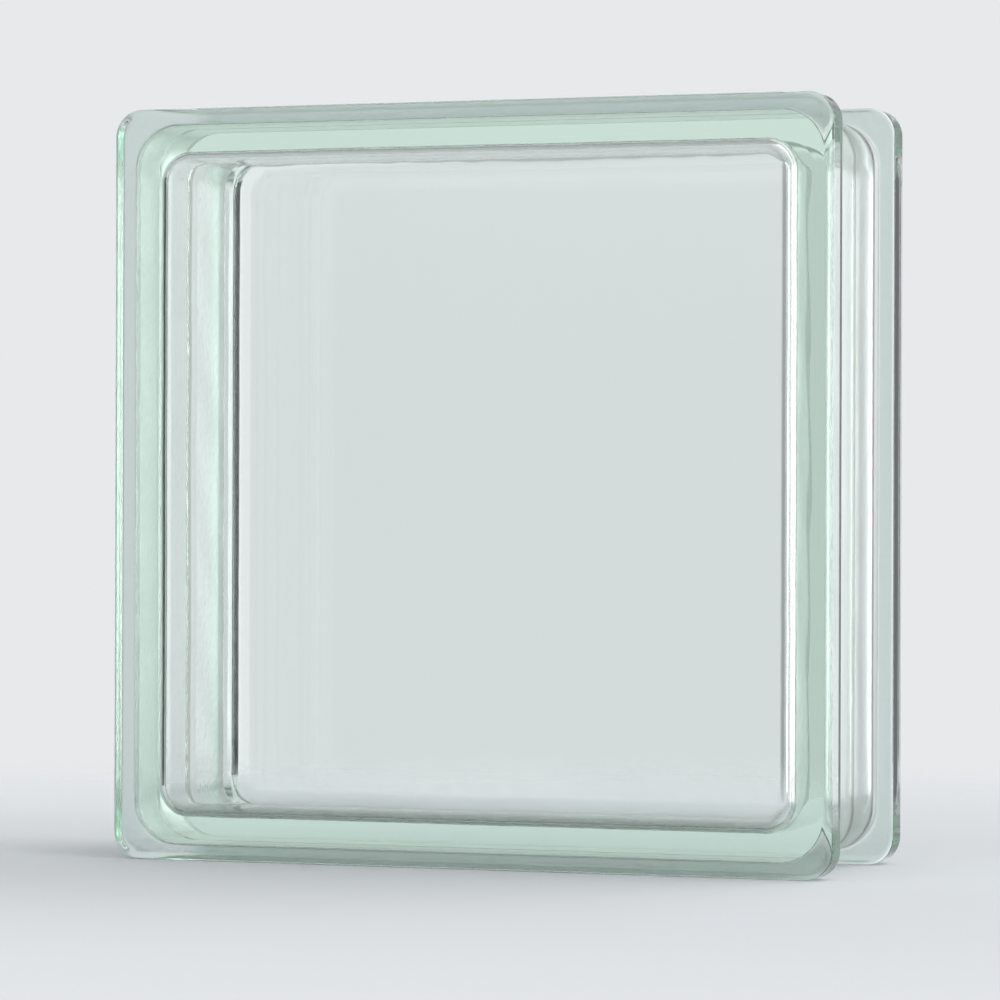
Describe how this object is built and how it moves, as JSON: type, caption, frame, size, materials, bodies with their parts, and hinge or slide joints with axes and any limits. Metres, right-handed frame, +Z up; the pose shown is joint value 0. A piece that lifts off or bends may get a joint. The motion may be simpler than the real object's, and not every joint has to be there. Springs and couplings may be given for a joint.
{
  "type": "glass block",
  "caption": "Hollow square building block of clear pressed glass, with thick flat faces, rounded edges and corners, and a sunk mortar key with a fused seam round its sides.",
  "frame": {"origin": "middle of the bottom, between the two flange edges that the block stands on", "axes": "+Z up, +Y from the front face to the back face, +X along the width, to the right as seen from the front"},
  "size_m": [0.24, 0.08, 0.24],
  "materials": {
    "glass": "clear pressed soda-lime glass with a faint green tint, smooth and fire polished"
  },
  "bodies": {
    "root": {"front_half": "glass", "back_half": "glass"}
  },
  "joints": []
}
